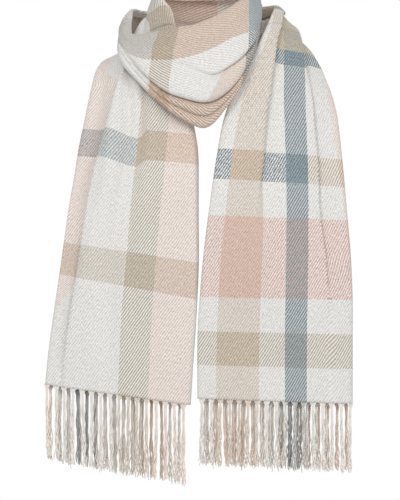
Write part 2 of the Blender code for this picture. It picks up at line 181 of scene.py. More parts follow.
def lap(share, width, over, high, low, side):
    """Control points of a knife fold. The lip points to the far edge (side 1) or to the near
    one (side -1), and the cloth turns back under it by the overlap. Where the step between the
    levels is low, the fold opens into a soft step."""
    lip = share * width
    soft = np.minimum(14, 0.12 * width)
    rise = high - low
    shut = np.clip((rise - STEP_OPENS) / (STEP_SHUTS - STEP_OPENS), 0, 1)
    back = lip - side * over
    inset = np.minimum(over / 2, 3)
    middle = (high + low) / 2
    folded = (
        (lip - 4 * side, high),
        (lip + TURN_BULGE * side, high - 0.1 * rise),
        (lip + TURN_BULGE * side, middle + 0.1 * rise),
        (lip - inset * side, middle),
        (back + inset * side, middle),
        (back - TURN_BULGE * side, middle - 0.1 * rise),
        (back - TURN_BULGE * side, low + 0.1 * rise),
        (back + 4 * side, low),
        (lip + 7 * side, low),
    )
    opened = (-1, -0.7, -0.45, -0.2, 0, 0.2, 0.45, 0.7, 1)
    return part_open(folded, opened, shut, lip, soft * side)[::side]


def laid_out(row, width, points):
    """The control points over the row's crown, drawn in where the stretch is narrower than the
    width that its folds were set out on."""
    squeeze = width_of(row) / width
    return [(u * squeeze, v + row.crown * 4 * (u / width) * (1 - u / width)) for u, v in points]


def right_section(row, layered):
    """The right end's cross-section: a turned inner edge, two laps that step down outward, the
    turn at the outer edge, then the two hidden layers or a short turned edge."""
    width = np.maximum(width_of(row), NARROWEST)
    level1, level2 = row.lift1 + row.lift2, row.lift2
    hidden = -2 * row.gap
    points = u_turn(0, level1, level1 - row.gap, -1)[::-1]
    points += lap(row.at1, width, row.over1, level1, level2, 1)
    points += lap(row.at2, width, row.over2, level2, 0, 1)
    points += u_turn(width, 0, hidden, 1)
    if layered:
        points += [(0.66 * width, hidden), (0.33 * width, hidden)]
        points += u_turn(5, hidden, -row.gap, -1)
        points += [(0.35 * width, -row.gap), (0.62 * width, -row.gap), (0.88 * width, -row.gap)]
    return laid_out(row, width, points)


def middle_of(row):
    return np.add(row[:3], row[3:6]).T / 2


def ease(x):
    """Smoothly from 0 to 1 where x goes from 0 to 1, and level beyond."""
    x = np.clip(x, 0, 1)
    return x * x * (3 - 2 * x)


WANDER, WANDER_LENGTH = 2.5, 47


def troughs_over(across, width, run, table):
    """Depth of the soft hollows: each is a bell curve across a line that leans from its lower
    place to its upper one and wanders a little, faded over its first and last quarter."""
    depth = 0 * across
    for low_at, high_at, start, end, reach, deepest in table:
        part = np.clip((run - start) / (end - start), 0, 1)
        line = (low_at + (high_at - low_at) * part) * width
        fade = ease(4 * part) * ease(4 * (1 - part))
        wander = WANDER * np.sin(run / WANDER_LENGTH + 9 * low_at)
        bell = np.exp(-(((across - line - wander) / reach) ** 2))
        depth = depth + deepest * fade * bell
    return depth


ROUND = 6.28  # a full turn, in radians
LONG_WAVES, WIDE_WAVES, SWELL = (90, 260), (28, 90), (0.2, 0.5)


def ripple(across, run, seed):
    """Slow unevenness of hanging cloth: five sine waves that run mostly along it."""
    draw = np.random.default_rng(seed)
    total = 0 * across
    for k in range(5):
        long = draw.uniform(*LONG_WAVES)
        wide = draw.uniform(*WIDE_WAVES) * draw.choice((-1, 1))
        swell = draw.uniform(*SWELL)
        turn = run * ROUND / long + across * ROUND / wide
        total = total + swell * np.sin(turn + ROUND * draw.random())
    return total


Stretch = namedtuple("Stretch", "grid places run across arc width")


def stretch(table, span, section, layered, troughs, seed, calm, beyond=(None, None)):
    """A stretch of cloth as a grid of points, with its run and arc length across for the weave.
    Each row lays its section between its two edges, out along the cross product of the line
    between them and the heading; troughs and ripple push all layers alike, but not over the calm
    lengths at its ends. Beyond are the points that its middle line comes from and goes to."""
    rows, kind = np.array(table, float), type(table[0])
    fine = np.linspace(*span, MEASURED_AT)
    length = distance_along(middle_of(kind(*through_rows(rows, fine)[0].T)))
    count = int(round(length[-1] / ROW_STEP))
    run = np.linspace(0, length[-1], count + 1)
    places = np.interp(run, length, fine)
    row = kind(*through_rows(rows, places)[0].T)
    edge_a, edge_b = np.stack(row[:3], 1), np.stack(row[3:6], 1)
    forward = unit(through_rows(middle_of(kind(*rows.T)), places, beyond)[1])
    width = width_of(row)
    across = (edge_b - edge_a) / width[:, None]
    out = unit(np.cross(across, forward))
    control = np.array([[u + 0 * row.ax, v + 0 * row.ax] for u, v in section(row, layered)])
    flat = np.einsum("sc,cdr->rsd", spline_weights(len(control), PER_SPAN), control)
    steps = np.linalg.norm(np.diff(flat, axis=1), axis=2)
    arc = np.concatenate([np.zeros((len(run), 1)), np.cumsum(steps, 1)], 1)
    along = run[:, None] + 0 * arc
    settled = np.ones(len(run))
    for still, from_end in zip(calm, (run, run[-1] - run)):
        if still:
            settled = settled * ease(from_end / still)
    hollows = troughs_over(flat[:, :, 0], width[:, None], along, troughs)
    flat[:, :, 1] += (ripple(flat[:, :, 0], along, seed) - hollows) * settled[:, None]
    grid = edge_a[:, None] + across[:, None] * flat[:, :, :1] + out[:, None] * flat[:, :, 1:]
    return Stretch(grid, places, run, flat[:, :, 0], arc, width)


def pinned(arc, *pins):
    """The woven coordinate across: the arc length, shifted to the pinned value at each pin's
    sample and by evenly changing amounts between pins."""
    samples = [sample for sample, _ in pins]
    shift = np.stack([value - arc[:, sample] for sample, value in pins], 1)
    every = np.arange(arc.shape[1])
    near = np.stack([np.interp(every, samples, one) for one in np.eye(len(pins))])
    return arc + shift @ near


def by_row(sheet, table):
    """A table with one value for each row of the path, at each row of a stretch."""
    return np.interp(sheet.places, np.arange(len(table)), table)


def by_run(run, table):
    """A table of (run, value) pairs, at each run, on straight lines from pair to pair."""
    return np.interp(run, *np.array(table).T)


def add_object(name, data):
    thing = bpy.data.objects.new(name, data)
    bpy.context.scene.collection.objects.link(thing)
    return thing


def smooth_mesh(name, points, faces, *maps):
    """A mesh of points, given in millimetres. Each UV map is a label and the points' two
    coordinates, also in millimetres."""
    mesh = bpy.data.meshes.new(name)
    mesh.from_pydata((points.reshape(-1, 3) * MM).tolist(), [], faces)
    corners = np.empty(len(mesh.loops), np.int32)
    mesh.loops.foreach_get("vertex_index", corners)
    for label, *place in maps:
        u, v = (np.broadcast_to(value, points.shape[:-1]).ravel()[corners] for value in place)
        uv = mesh.uv_layers.new(name=label).uv
        uv.foreach_set("vector", (np.stack([u, v], 1) * MM).astype(np.float32).ravel())
    mesh.shade_smooth()
    return mesh


def lay_cloth(name, grid, woven_across, woven_along, material):
    """A sheet of quads on a grid of points, with the weave's own coordinates as its UV map, and
    a wall of even thickness."""
    rows, columns = grid.shape[:2]
    corner = np.arange(rows * columns).reshape(rows, columns)
    quads = np.stack([corner[:-1, :-1], corner[:-1, 1:], corner[1:, 1:], corner[1:, :-1]], -1)
    woven = ("weave", woven_across, woven_along)
    piece = add_object(name, smooth_mesh(name, grid, quads.reshape(-1, 4).tolist(), woven))
    piece.data.materials.append(material)
    wall = piece.modifiers.new("Wall", "SOLIDIFY")
    wall.thickness = CLOTH_WALL * MM
    wall.offset = 0.0
    return piece


def linear(red, green, blue, alpha=0.0):
    """A colour as a screen shows it, 0 to 255, as the linear colour that a shader takes."""
    c = np.array([red, green, blue]) / 255
    return (*np.where(c <= 0.04045, c / 12.92, ((c + 0.055) / 1.055) ** 2.4), alpha)


# The cowl's deeper yarns for its rolls are partly painted shade: darker copies of the stripes' own
# yarns.
# Each yarn's last number is how much more than half of a twill's floats it keeps for itself.
YARN = {label: linear(*numbers) for label, numbers in {
    "white": (239, 237, 233), "taupe": (200, 189, 171), "warm taupe": (212, 194, 173),
    "shoulder taupe": (204, 193, 172, 0.5), "blue": (136, 152, 158, 0.24),
    "pale pink": (241, 218, 207), "pink": (230, 195, 184, 0.1), "dusty taupe": (208, 191, 171),
    "grey blue": (138, 151, 158, 0.12), "slate": (152, 164, 170, 0.06),
    "steel": (172, 181, 184, 0.7), "mist": (222, 226, 228), "shaded rose": (222, 194, 172),
    "tan": (200, 171, 147, 0.24), "shaded taupe": (194, 179, 158), "warm": (0, 0, 0),
    "cool": (255, 255, 255),
}.items()}
# The stripes across the whole cloth, from the selvedge that is this tail's left edge.
WARP = (
    (0, "white"), (24, "warm taupe"), (88, "white"), (125, "blue"), (159, "white"),
    (230, "pale pink"), (294, "taupe"), (340, "white"), (448, "pale pink"),
    (508, "white"), (548, "blue"), (580, "white"),
)
# Under the cool stripes the grey-blue weft bands show; under the warm ones they're a dusty taupe.
COOL_WARP = (
    (0, "cool"), (24, "warm"), (88, "cool"), (158, "warm"), (340, "cool"), (580, "warm"),
)
CLOTH_WIDTH = 650.0
LONGEST_RUN = 2200.0
WARP_PITCH, WEFT_PITCH = 0.98, 1.7  # from one thread to the next
METRE = 1000
HALF_TURN = 3.1416
# Scales of the weave's unevenness across the cloth and along it, in waves to the metre.
WAVER, SPECK, FUZZ, DRIFT, MOTTLE = (55, 38), (520, 300), (900, 900), (14, 9), (250, 170)
WARP_FIBRE, WEFT_FIBRE = (1000, 90), (90, 700)
# Heights of the twill's rib, of each thread's round and of the brushed fuzz.
RIB, THREAD, FUZZY = 0.45, 0.4, 0.35
# How far a warp thread wavers, in threads, how ragged a float's ends are, and how much of the
# two yarns' difference in colour is kept.
WAVERS, RAGGED, CONTRAST = 2.2, 0.55, 0.95
# Painted shade: the darker yarns are painted darker in the twill's grooves than the white ones.
GROOVE_DEPTH = 0.9
TWILL_BUMP, TWILL_HEIGHT = 0.5, 0.0007


def feed(tree, inputs, values):
    """Gives each input, by its label or place, a number, a colour or another node's output."""
    for label, value in values.items():
        if isinstance(value, bpy.types.NodeSocket):
            tree.links.new(value, inputs[label])
        else:
            inputs[label].default_value = value


def math(tree, operation, *values):
    node = tree.nodes.new("ShaderNodeMath")
    node.operation = operation
    feed(tree, node.inputs, dict(enumerate(values)))
    return node.outputs[0]


def vary(tree, level, source, amount, middle=0.5):
    """A level, and on top of it the amount times how far the source is above its middle."""
    return math(tree, "MULTIPLY_ADD", math(tree, "SUBTRACT", source, middle), amount, level)


def either(tree, share, first, second):
    """The share times the first value, and the rest of one times the second."""
    rest = math(tree, "SUBTRACT", 1.0, share)
    first, second = math(tree, "MULTIPLY", share, first), math(tree, "MULTIPLY", rest, second)
    return math(tree, "ADD", first, second)


def blend(tree, kind, share, first, second):
    node = tree.nodes.new("ShaderNodeMix")
    node.data_type = "RGBA"
    node.blend_type = kind
    feed(tree, node.inputs, {0: share, 6: first, 7: second})
    return node.outputs[2]


def outputs_of(tree, kind, values):
    """The outputs of a plain node that takes these values."""
    node = tree.nodes.new("ShaderNode" + kind)
    feed(tree, node.inputs, values)
    return node.outputs


def shaded(tree, colour, shade):
    """A colour times a shade of grey."""
    grey = outputs_of(tree, "CombineColor", {0: shade, 1: shade, 2: shade})[0]
    return blend(tree, "MULTIPLY", 1.0, colour, grey)


def grain(tree, across, along, scales, detail=2.0):
    """Noise stretched along the yarn: the two woven coordinates, each at its own scale."""
    u, v = (math(tree, "MULTIPLY", at, scale) for at, scale in zip((across, along), scales))
    place = outputs_of(tree, "CombineXYZ", {0: u, 1: v})[0]
    return outputs_of(tree, "TexNoise", {"Vector": place, "Scale": 1.0, "Detail": detail})[0]


def rounded(tree, count):
    """The round of a thread: a half sine wave over each thread of the count."""
    part = math(tree, "FRACT", count)
    return math(tree, "SINE", math(tree, "MULTIPLY", part, HALF_TURN))


def twill_group():
    """Brushed 2/2 twill. Counts the threads both ways: the warp is up where the two counts,
    taken together, stand in the first half of every four, and the weft elsewhere. Puts out the
    yarns' colour, with uneven fibres and painted shade in the grooves, and the height."""
    group = bpy.data.node_groups.new("brushed_twill", "ShaderNodeTree")
    for label, way, kind in (
        ("Weave", "INPUT", "Vector"), ("Warp", "INPUT", "Color"), ("Weft", "INPUT", "Color"),
        ("Lean", "INPUT", "Float"), ("Share", "INPUT", "Float"),
        ("Colour", "OUTPUT", "Color"), ("Height", "OUTPUT", "Float"),
    ):
        group.interface.new_socket(label, in_out=way, socket_type="NodeSocket" + kind)
    given = group.nodes.new("NodeGroupInput").outputs
    out = group.nodes.new("NodeGroupOutput").inputs
    across, along = outputs_of(group, "SeparateXYZ", {0: given["Weave"]})[:2]
    waver, speck, drift, mottle, warp_fibre, weft_fibre = (
        grain(group, across, along, scales)
        for scales in (WAVER, SPECK, DRIFT, MOTTLE, WARP_FIBRE, WEFT_FIBRE)
    )
    warp_count = math(
        group, "MULTIPLY_ADD", across, METRE / WARP_PITCH, vary(group, 0.0, waver, WAVERS)
    )
    weft_count = math(group, "MULTIPLY", along, METRE / WEFT_PITCH)
    whole_warp, whole_weft = (math(group, "FLOOR", count) for count in (warp_count, weft_count))
    together = math(group, "MULTIPLY_ADD", whole_weft, given["Lean"], whole_warp)
    step = math(group, "FRACT", math(group, "MULTIPLY_ADD", together, 0.25, 0.125))
    warp_up = math(group, "LESS_THAN", step, vary(group, given["Share"], speck, RAGGED))

    smooth = math(group, "MULTIPLY_ADD", weft_count, given["Lean"], warp_count)
    wave = math(group, "COSINE", math(group, "MULTIPLY", smooth, HALF_TURN / 2))
    rib = math(group, "MULTIPLY_ADD", wave, 0.5, 0.5)
    thread = either(group, warp_up, rounded(group, warp_count), rounded(group, weft_count))
    rib, thread = math(group, "MULTIPLY", rib, RIB), math(group, "MULTIPLY", thread, THREAD)
    fuzz = grain(group, across, along, FUZZ, detail=3.0)
    height = math(group, "MULTIPLY_ADD", fuzz, FUZZY, math(group, "ADD", rib, thread))

    mixed = vary(group, 0.5, warp_up, CONTRAST)
    colour = blend(group, "MIX", mixed, given["Weft"], given["Warp"])
    fibre = either(group, warp_up, warp_fibre, weft_fibre)
    # Each unevenness shades the yarns by its amount, up and down from its middle value. The fibres,
    # drift, speck and mottle are the yarns' own uneven tone; the height's share is painted shade,
    # darker in the low grooves.
    shade = 0.94
    for source, amount, middle in (
        (fibre, 0.34, 0.5), (drift, 0.08, 0.5), (speck, 0.5, 0.5), (mottle, 0.22, 0.5),
        (height, 0.34, 0.55),
    ):
        shade = vary(group, shade, source, amount, middle)
    # Painted shade: a power above one darkens the darker yarns in the low grooves, and the speck
    # varies it at random.
    power = vary(group, 1.0, height, -GROOVE_DEPTH, middle=0.66)
    power = vary(group, power, speck, -GROOVE_DEPTH)
    power = math(group, "MAXIMUM", power, 0.4)
    deepened = outputs_of(group, "Gamma", {"Color": shaded(group, colour, shade), "Gamma": power})
    feed(group, out, {"Colour": deepened[0], "Height": height})
    return group


TWILL = twill_group()


def stripes(tree, place, table, length):
    """A ramp with sharp steps: each row of the table starts a stripe, in millimetres."""
    node = tree.nodes.new("ShaderNodeValToRGB")
    tree.links.new(math(tree, "MULTIPLY", place, METRE / length), node.inputs[0])
    ramp = node.color_ramp
    ramp.interpolation = "CONSTANT"
    ramp.elements.remove(ramp.elements[1])
    for k, (start, label) in enumerate(table):
        stop = ramp.elements[0] if k == 0 else ramp.elements.new(start / length)
        stop.position = start / length
        stop.color = YARN[label]
    return node.outputs


def new_material(name):
    """A material, its node tree and its shader's inputs."""
    material = bpy.data.materials.new(name)
    material.use_nodes = True
    tree = material.node_tree
    return material, tree, tree.nodes["Principled BSDF"].inputs


def mapped(tree, label):
    """A UV map's place, then its two coordinates."""
    node = tree.nodes.new("ShaderNodeUVMap")
    node.uv_map = label
    return node.outputs[0], *outputs_of(tree, "SeparateXYZ", {0: node.outputs[0]})[:2]


def bump(tree, height, strength, distance):
    given = {"Height": height, "Strength": strength, "Distance": distance}
    return outputs_of(tree, "Bump", given)[0]


def plaid(name, weft, lean, warp=WARP):
    """Brushed twill in the plaid. The weft table's bands are measured along the stretch, and a
    band may have one yarn for the cool warp stripes and another for the warm ones."""
    material, tree, shader = new_material(name)
    place, across, along = mapped(tree, "weave")
    warp_yarn = stripes(tree, across, warp, CLOTH_WIDTH)
    cool = stripes(tree, across, COOL_WARP, CLOTH_WIDTH)[0]
    warm_weft, cool_weft = (
        stripes(tree, along, [(row[0], row[k]) for row in weft], LONGEST_RUN) for k in (-1, 1)
    )
    weft_keeps = either(tree, cool, cool_weft[1], warm_weft[1])
    twill = tree.nodes.new("ShaderNodeGroup")
    twill.node_tree = TWILL
    feed(tree, twill.inputs, {
        "Weave": place,
        "Lean": lean,
        "Share": math(tree, "SUBTRACT", math(tree, "ADD", warp_yarn[1], 0.5), weft_keeps),
        "Warp": warp_yarn[0],
        "Weft": blend(tree, "MIX", cool, warm_weft[0], cool_weft[0]),
    })
    feed(tree, shader, {
        "Base Color": twill.outputs["Colour"],
        "Roughness": 0.88,
        "Specular IOR Level": 0.15,
        "Sheen Weight": 0.22,
        "Sheen Roughness": 0.55,
        "Sheen Tint": (1.0, 0.97, 0.94, 1.0),
        "Normal": bump(tree, twill.outputs["Height"], TWILL_BUMP, TWILL_HEIGHT),
    })
    return material


# Samples across: just past the turned inner edge, on the panel before the first knife fold, at
# its lip, where the panel between the two folds starts, at the second lip, on the outer panel,
# and on the two hidden layers.
NEAR_TOP_EDGE, FIRST_PANEL, FIRST_LIP, SECOND_PANEL, SECOND_LIP, OUTER_PANEL = (
    PER_SPAN * point for point in (6, 7, 8, 15, 17, 22)
)
BACK_LAYER, MIDDLE_LAYER = 31 * PER_SPAN, 36 * PER_SPAN
# How much less cloth than their drawn curve the second fold holds, row by row, and the turn
# between the hidden layers.
RIGHT_LET_OUT, TURN_LET_OUT = (6, 6, 8, 12, 14, 15, 15, 15, 14, 10, 4), 34
# How far the weft bands climb towards the crest, and the woven span over which that sets in.
RIGHT_RISE = ((0, 0), (430, 0), (490, 14), (540, 16), (572, 0))
RISE_STARTS, RISE_SPAN = 150, 60
# The first panel has slipped down behind its lip towards the crest, and up again at the back.
RIGHT_SLIP = (
    (0, 0), (385, 0), (420, 8), (480, 35), (572, 80), (620, 110), (700, 90), (900, 0), (2000, 0),
)
RIGHT_WEFT = (
    (0, "white"), (48, "taupe"), (98, "white"), (148, "pink"), (268, "white"),
    (319, "grey blue", "dusty taupe"), (364, "white"), (500, "blue"), (527, "shoulder taupe"),
    (626, "white"), (722, "pale pink"), (834, "white"), (878, "grey blue", "dusty taupe"),
    (906, "mist"),
)


def slipped(run, columns):
    """Run of the weave at each sample of a row: less by the slip before the first lip, none past
    the next panel's start."""
    held = np.interp(np.arange(columns), (FIRST_LIP, SECOND_PANEL), (1, 0))
    return run[:, None] - by_run(run, RIGHT_SLIP)[:, None] * held


tail = stretch(RIGHT_PATH, (0, RIGHT_SEAM), right_section, True, RIGHT_TROUGHS, 3, calm=(0, 30))
taupe_edge, blue_edge, let_out = (
    by_row(tail, table) for table in (RIGHT_TAUPE_EDGE, RIGHT_BLUE_EDGE, RIGHT_LET_OUT)
)
at_blue = BLUE_STARTS + tail.across[:, SECOND_PANEL] - blue_edge - tail.arc[:, SECOND_PANEL]
woven_across = pinned(
    tail.arc,
    *((at, TAUPE_STARTS + tail.across[:, at] - taupe_edge) for at in (FIRST_PANEL, FIRST_LIP)),
    *((at, at_blue + tail.arc[:, at]) for at in (SECOND_PANEL, SECOND_LIP)),
    *((at, at_blue + tail.arc[:, at] - let_out) for at in (OUTER_PANEL, BACK_LAYER)),
    (MIDDLE_LAYER, at_blue + tail.arc[:, MIDDLE_LAYER] - let_out - TURN_LET_OUT),
)
outer_share = ease((woven_across - RISE_STARTS) / RISE_SPAN)
woven_along = slipped(tail.run, woven_across.shape[1])
woven_along = woven_along - by_run(tail.run, RIGHT_RISE)[:, None] * outer_share
right_plaid = plaid("right_tail_plaid", RIGHT_WEFT, -1.0)
right_tail = lay_cloth("right_tail_cloth", tail.grid, woven_across, woven_along, right_plaid)
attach(right_tail, "root")
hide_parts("right_tail")


# -------------------- the outer neck wrap
# The right end going on past its crest and round the back of the loop, outside the other end,
# to the cowl. The wool cloth is bunched to a third of its width and rolls as it goes, so the
# stripes run slantwise across its pleats at the back.

# The rows of the cowl, which the wraps head for: its two edges, crown and tuck, and for each
# crease its place down the cowl, its depth and how far the roll above hangs over it.
Swag = namedtuple(
    "Swag", "ax ay az bx by bz crown tuck at1 deep1 hang1 at2 deep2 hang2 at3 deep3 hang3"
)
COWL_PATH = [Swag(*row) for row in (
    (-115, -8, 41, -130, -14, 15, 6, 12, 0.36, 1, 0, 0.62, 1, 0, 0.80, 0, 0),
    (-112, -45, 24, -130, -86, -9, 8, 12, 0.36, 1, 0, 0.66, 3, 1, 0.82, 1, 0),
    (-90, -80, 23, -104, -117, -44, 10, 13, 0.38, 1, 0, 0.74, 7, 3, 0.88, 3, 1),
    (-52, -100, 30, -68, -140, -80, 12, 14, 0.42, 2, 1, 0.79, 11, 5, 0.90, 7, 3),
    (-16, -108, 35, -34, -154, -103, 14, 14, 0.48, 3, 1, 0.77, 14, 6, 0.89, 10, 4),
    (20, -110, 50, 0, -158, -116, 15, 14, 0.55, 6, 3, 0.76, 15, 7, 0.89, 10, 4),
    (47, -102, 67, 30, -152, -90, 14, 14, 0.58, 11, 5, 0.82, 14, 5, 0.92, 6, 2),
    (66, -86, 79, 55, -136, -56, 12, 12, 0.62, 9, 1, 0.84, 5, 1, 0.93, 1, 0),
    (73, -71, 87, 68, -117, -26, 10, 12, 0.61, 5, 0, 0.82, 2, 0, 0.93, 0, 0),
    (76, -56, 91, 77, -94, 8, 8, 12, 0.56, 3, 0, 0.80, 1, 0, 0.92, 0, 0),
    (78, -40, 93, 80, -70, 28, 6, 12, 0.50, 2, 0, 0.76, 1, 0, 0.90, 0, 0),
    (79, -22, 95, 82, -40, 34, 5, 12, 0.44, 1, 0, 0.68, 1, 0, 0.86, 0, 0),
)]
OUTSIDE = 30 * PER_SPAN + 1  # samples up to the end of the outer edge's turn
OUTER_TROUGHS = (
    (0.18, 0.24, 30, 250, 7, 1.6),
    (0.50, 0.44, 60, 330, 8, 1.5),
    (0.84, 0.78, 40, 300, 8, -1.6),
    (0.30, 0.40, 200, 380, 8, 1.4),
)
# The first blue stripe is lost in a fold of the wrap.
WRAP_WARP = [(start, "taupe" if start == 125 else label) for start, label in WARP]
WRAP_END_WOVEN = 316.0  # where the weave stands at the cowl's upper left corner
LATE_ROLL = 1.3  # the power by which it rolls more towards the wrap's end
SEAM_FADE = 160  # the run over which the seam's own spread of the weave is lost

# The rim stands a little higher next to the cowl than the plain form.
WRAP_PATH = list(RIGHT_PATH)
for row, rim in ((16, 57), (17, 61)):
    WRAP_PATH[row] = WRAP_PATH[row]._replace(az=rim)
wrap = stretch(
    WRAP_PATH, (RIGHT_SEAM, len(WRAP_PATH) - 1), right_section, False, OUTER_TROUGHS, 8,
    beyond=(None, middle_of(COWL_PATH[1])), calm=(30, 30),
)
seam_woven, seam_arc = woven_across[-1, :OUTSIDE], tail.arc[-1, :OUTSIDE]
at_seam = seam_woven[NEAR_TOP_EDGE]
rolled = at_seam + (WRAP_END_WOVEN - at_seam) * (wrap.run / wrap.run[-1]) ** LATE_ROLL
wrap_woven = wrap.arc - wrap.arc[:, NEAR_TOP_EDGE, None] + rolled[:, None]
lead = np.interp(wrap.arc[0] / wrap.arc[0, -1], seam_arc / seam_arc[-1], seam_woven)
lead = lead - wrap_woven[0]
wrap_woven = wrap_woven + lead * (1 - ease(wrap.run / SEAM_FADE))[:, None]
wrap_along = slipped(tail.run[-1] + wrap.run, wrap_woven.shape[1])
outer_plaid = plaid("outer_wrap_plaid", RIGHT_WEFT, -1.0, warp=WRAP_WARP)
outer_wrap = lay_cloth("outer_wrap_cloth", wrap.grid, wrap_woven, wrap_along, outer_plaid)
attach(outer_wrap, "root")
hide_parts("outer_neck_wrap")
wrap_end = np.concatenate([wrap.grid[-1], wrap_woven[-1][:, None]], 1)
wrap_end_share = wrap.arc[-1] / wrap.arc[-1, -1]


# -------------------- the left end
# The other end of the same cloth, turned round so that it shows the same face. Its broad white
# panel has a soft folded edge that stands over a narrow strip, and a valley runs beside it.
LEFT_PATH = [Station(*row) for row in (
    (-238, -112, -505, -24, -126, -535, 2, 7.5, 0.10, 3, 6, 0.42, 16, 1),
    (-233, -114, -455, -20, -129, -470, 3, 7.5, 0.11, 6, 8, 0.41, 16, 2),
    (-226, -115, -403, -16, -130, -412, 4, 7.5, 0.12, 9, 9, 0.40, 16, 4),
    (-214, -117, -321, -12, -131, -328, 5, 7.5, 0.13, 13, 10, 0.39, 16, 7),
    (-203, -116, -243, -12, -130, -250, 6, 7.5, 0.14, 15, 11, 0.39, 16, 9),
    (-195, -113, -196, -12, -128, -202, 7, 7.5, 0.15, 16, 12, 0.40, 16, 11),
    (-188, -106, -150, -13, -123, -154, 8, 7.5, 0.17, 17, 12, 0.42, 16, 12),
    (-180, -94, -110, -20, -112, -110, 8, 7, 0.18, 17, 12, 0.42, 16, 12),
    (-171, -73, -64, -30, -98, -62, 8, 6.5, 0.20, 15, 11, 0.42, 15, 10),
    (-162, -42, -27, -40, -84, -18, 5, 6, 0.22, 5, 5, 0.44, 13, 4),
    (-147, -8, -14, -46, -74, 24, 5, 5.5, 0.26, 0, 3, 0.50, 12, 3),
    (-121, 40, -29, -56, -62, 58, 19, 5.5, 0.28, 0, 3, 0.66, 10, 6),
    (-94, 75, -30, -70, -34, 78, 16, 5.5, 0.32, 0, 3.5, 0.72, 9, 8),
    (-62, 98, -18, -72, 14, 88, 9, 5.5, 0.32, 0, 3, 0.64, 11, 6),
    (-14, 108, -14, -38, 62, 90, 5, 5.5, 0.34, 0, 3, 0.60, 12, 5),
    (36, 100, -4, 22, 72, 91, 5, 5.5, 0.34, 0, 3, 0.60, 12, 5),
    (70, 66, 10, 56, 54, 92, 5, 5.5, 0.33, 0, 3, 0.61, 9, 4),
    (84, 24, 24, 73, 22, 94, 4, 5.5, 0.32, 0, 2, 0.62, 7, 2),
    (82, -40, 34, 79, -22, 95, 4, 5.5, 0.32, 0, 1, 0.62, 6, 1),
)]
LEFT_SEAM = 10.3  # the crest, as above

# Where the taupe stripe's left edge lies across the tail, row by row.
LEFT_TAUPE_EDGE = (109, 106.5, 102, 96, 91.5, 89, 87, 83, 80.5, 82, 90)
TAUPE_ENDS = 340.0
# How much of the pink stripe the fold beside the strip swallows, row by row.
LEFT_SWALLOWED = (-14, -20, -28, 20, 14, 22, 24, 26, 30, 30, 20)
# How far the weft bands lean down to the right: the rise from edge to edge at each run.
LEFT_SLANT = ((0, 0), (60, 18), (155, 31), (215, 23), (350, 9), (400, 12), (540, 0), (2000, 0))
# How far they dip on the panel towards the valley.
LEFT_DIP = ((0, 0), (300, 0), (345, 12), (400, 12), (450, 0), (2000, 0))
DIP_ACROSS = ((0.2, 0), (0.5, 1), (0.58, 0))  # how much of the dip there is across the width
LEFT_TROUGHS = (
    (0.44, 0.60, 120, 560, 7, 4.5),
    (0.51, 0.60, 330, 585, 5, 6.5),
    (0.02, 0.15, 90, 560, 8, 5.0),
    (0.13, 0.32, 40, 560, 7, -3.0),
    (0.60, 0.55, 0, 300, 14, 1.8),
    (0.78, 0.74, 40, 330, 12, -1.6),
    (0.24, 0.28, 60, 420, 10, -1.8),
    (0.33, 0.34, 20, 260, 8, 1.6),
    (0.90, 0.86, 160, 470, 9, 1.6),
    (0.68, 0.64, 280, 520, 9, 1.4),
)
LEFT_WEFT = (
    (0, "white"), (155, "taupe"), (213, "white"), (346, "slate", "dusty taupe"),
    (394, "white"), (538, "white", "taupe"),
)


def left_section(row, layered):
    """The left end's cross-section: the hidden layer and turn at the outer edge, the strip under
    the broad panel's lip, the panel, the valley beside it, and the turn at the inner edge."""
    width = np.maximum(width_of(row), NARROWEST)
    valley = row.at2 * width
    high = row.lift1
    hidden = -2 * row.gap
    points = []
    if layered:
        points += [(0.70 * width, -row.gap), (0.46 * width, -row.gap), (0.22 * width, -row.gap)]
    points += u_turn(0, 0, -row.gap, -1)[::-1]
    points += lap(row.at1, width, row.over1, high, 0, -1)
    points += [
        (valley - 1.0 * row.over2, high + 1),
        (valley - 0.4 * row.over2, high - 0.5 * row.lift2),
        (valley, high - row.lift2),
        (valley + 0.6 * row.over2, high - 0.5 * row.lift2),
        (valley + 1.4 * row.over2, high),
        (0.4 * (valley + 1.4 * row.over2) + 0.6 * (width - TURN_RUN), high),
    ]
    points += u_turn(width, high, hidden, 1)
    if layered:
        points += [(0.66 * width, hidden), (0.33 * width, hidden), (8, hidden)]
    return laid_out(row, width, points)


# Samples across: before and in the strip's turned edge, on both sides of its fold, just before
# the turned inner edge, in it and past it.
BEHIND_STRIP, STRIP_TURN, STRIP_START, PANEL_START, LEFT_NEAR_EDGE, INNER_TURN, BEHIND_PANEL = (
    PER_SPAN * point for point in (4, 6, 11, 17, 25, 27, 29)
)
TUCKED_IN, GATHERED = 67.0, 90.0  # how much cloth is gathered in the strip's turn, in the inner one
